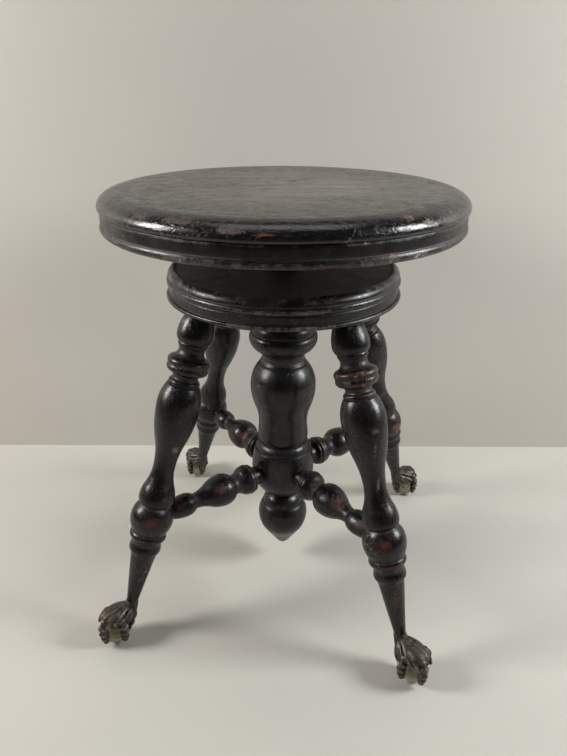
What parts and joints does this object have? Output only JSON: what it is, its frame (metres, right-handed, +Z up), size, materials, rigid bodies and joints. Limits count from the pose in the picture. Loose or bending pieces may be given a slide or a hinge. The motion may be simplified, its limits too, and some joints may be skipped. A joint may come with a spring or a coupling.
{
  "type": "revolving piano stool",
  "caption": "Round wooden piano stool that turns and rises on a screw, with a turned post, splayed turned legs, stretchers and claw feet that hold glass balls.",
  "frame": {"origin": "on the floor, on the axis of the seat's screw", "axes": "+Z up along the screw; -Y is the front; the legs stand at 45, 135, 225 and 315 degrees from +X"},
  "size_m": [0.3556, 0.3556, 0.463],
  "materials": {
    "seat_wood": "black satin finish with fine scratches",
    "ebonised_wood": "ebonised, satin to glossy, worn brown on the high points",
    "black_iron": "black enamelled casting",
    "screw_steel": "oiled dark steel",
    "claw_metal": "worn brown-grey casting with dark recesses",
    "foot_glass": "clear to smoky glass ball"
  },
  "bodies": {
    "base": {"nut_plate": "black_iron", "base_disc": "ebonised_wood", "post": "ebonised_wood", "finial": "ebonised_wood", "leg_front_left": "ebonised_wood", "stretcher_front_left": "ebonised_wood", "claw_front_left": "claw_metal", "ball_front_left": "foot_glass", "leg_front_right": "ebonised_wood", "stretcher_front_right": "ebonised_wood", "claw_front_right": "claw_metal", "ball_front_right": "foot_glass", "leg_back_right": "ebonised_wood", "stretcher_back_right": "ebonised_wood", "claw_back_right": "claw_metal", "ball_back_right": "foot_glass", "leg_back_left": "ebonised_wood", "stretcher_back_left": "ebonised_wood", "claw_back_left": "claw_metal", "ball_back_left": "foot_glass"},
    "screw": {"screw": "screw_steel"},
    "seat": {"seat_top": "seat_wood", "seat_underboard": "ebonised_wood", "spider": "black_iron"}
  },
  "joints": [
    {"name": "seat_lift", "type": "slide", "parent": "base", "child": "screw", "axis": [0, 0, 1], "range_m": [-0.0191, 0.1017]},
    {"name": "seat_turn", "type": "hinge", "parent": "screw", "child": "seat", "pos_m": [0, 0, 0.4], "axis": [0, 0, 1], "range_deg": [-1080, 5760]}
  ],
  "couplings": [
    {"joint": "seat_lift", "follows": "seat_turn", "m_per_rad": 0.0010106}
  ]
}
